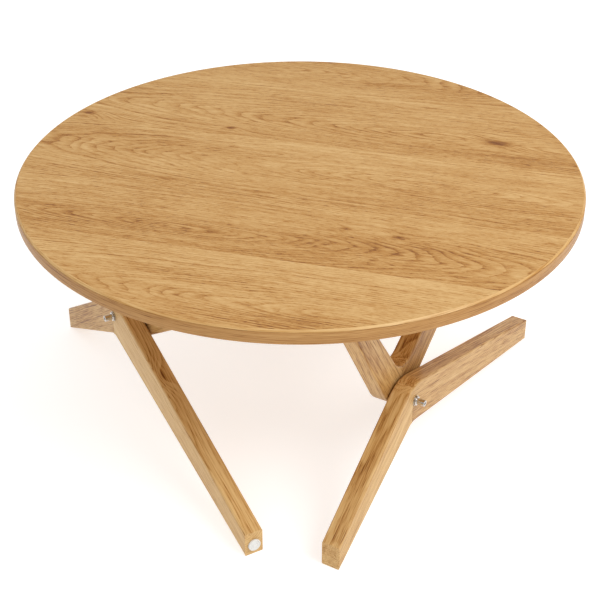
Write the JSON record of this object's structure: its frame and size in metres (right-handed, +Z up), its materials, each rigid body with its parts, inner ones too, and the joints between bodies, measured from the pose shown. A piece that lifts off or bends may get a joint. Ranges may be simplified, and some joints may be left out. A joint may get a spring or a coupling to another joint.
{
  "type": "two-height round table",
  "caption": "Round oak table on three crossed boomerang legs that pivot on bolts through V-shaped brackets, for a low and a high setting.",
  "frame": {"origin": "on the floor under the middle of the round top, with the legs in the low setting", "axes": "+Z up, out of the top's surface; the first pivot's face looks 30 degrees to the right of -Y, and the other two follow it in steps of 120 degrees"},
  "size_m": [0.9, 0.9111, 0.42],
  "materials": {
    "oak_top": "satin lacquer",
    "oak_band": "satin lacquer",
    "oak_frame": "satin lacquer",
    "beech": "raw",
    "steel": "bright nickel plate",
    "zinc": "zinc plate",
    "white_plastic": "moulded nylon",
    "black_plastic": "moulded nylon"
  },
  "bodies": {
    "root": {"tabletop_board": "oak_top", "edge_band": "oak_band", "bracket_1_short_arm": "oak_frame", "bracket_1_long_arm": "oak_frame", "bracket_1_tenon": "beech", "hanger_bolt_1_short": "steel", "threaded_insert_1_short": "zinc", "hanger_bolt_1_long": "steel", "threaded_insert_1_long": "zinc", "pivot_bolt_1": "steel", "inner_washer_1": "steel", "spacer_washer_1": "black_plastic", "outer_washer_1": "steel", "sleeve_nut_1": "steel", "bracket_2_short_arm": "oak_frame", "bracket_2_long_arm": "oak_frame", "bracket_2_tenon": "beech", "hanger_bolt_2_short": "steel", "threaded_insert_2_short": "zinc", "hanger_bolt_2_long": "steel", "threaded_insert_2_long": "zinc", "pivot_bolt_2": "steel", "inner_washer_2": "steel", "spacer_washer_2": "black_plastic", "outer_washer_2": "steel", "sleeve_nut_2": "steel", "bracket_3_short_arm": "oak_frame", "bracket_3_long_arm": "oak_frame", "bracket_3_tenon": "beech", "hanger_bolt_3_short": "steel", "threaded_insert_3_short": "zinc", "hanger_bolt_3_long": "steel", "threaded_insert_3_long": "zinc", "pivot_bolt_3": "steel", "inner_washer_3": "steel", "spacer_washer_3": "black_plastic", "outer_washer_3": "steel", "sleeve_nut_3": "steel"},
    "leg_1": {"leg_1_short_arm": "oak_frame", "leg_1_long_arm": "oak_frame", "leg_1_tenon": "beech", "foot_pad_1": "white_plastic"},
    "leg_2": {"leg_2_short_arm": "oak_frame", "leg_2_long_arm": "oak_frame", "leg_2_tenon": "beech", "foot_pad_2": "white_plastic"},
    "leg_3": {"leg_3_short_arm": "oak_frame", "leg_3_long_arm": "oak_frame", "leg_3_tenon": "beech", "foot_pad_3": "white_plastic"}
  },
  "joints": [
    {"name": "leg_1_pivot", "type": "hinge", "parent": "root", "child": "leg_1", "pos_m": [0.17945, -0.25718, 0.162], "axis": [-0.866, 0.5, 0], "range_deg": [0, 90]},
    {"name": "leg_2_pivot", "type": "hinge", "parent": "root", "child": "leg_2", "pos_m": [-0.31245, -0.02682, 0.162], "axis": [0.866, 0.5, 0], "range_deg": [0, 90]},
    {"name": "leg_3_pivot", "type": "hinge", "parent": "root", "child": "leg_3", "pos_m": [0.133, 0.284, 0.162], "axis": [0, -1, 0], "range_deg": [0, 90]}
  ]
}
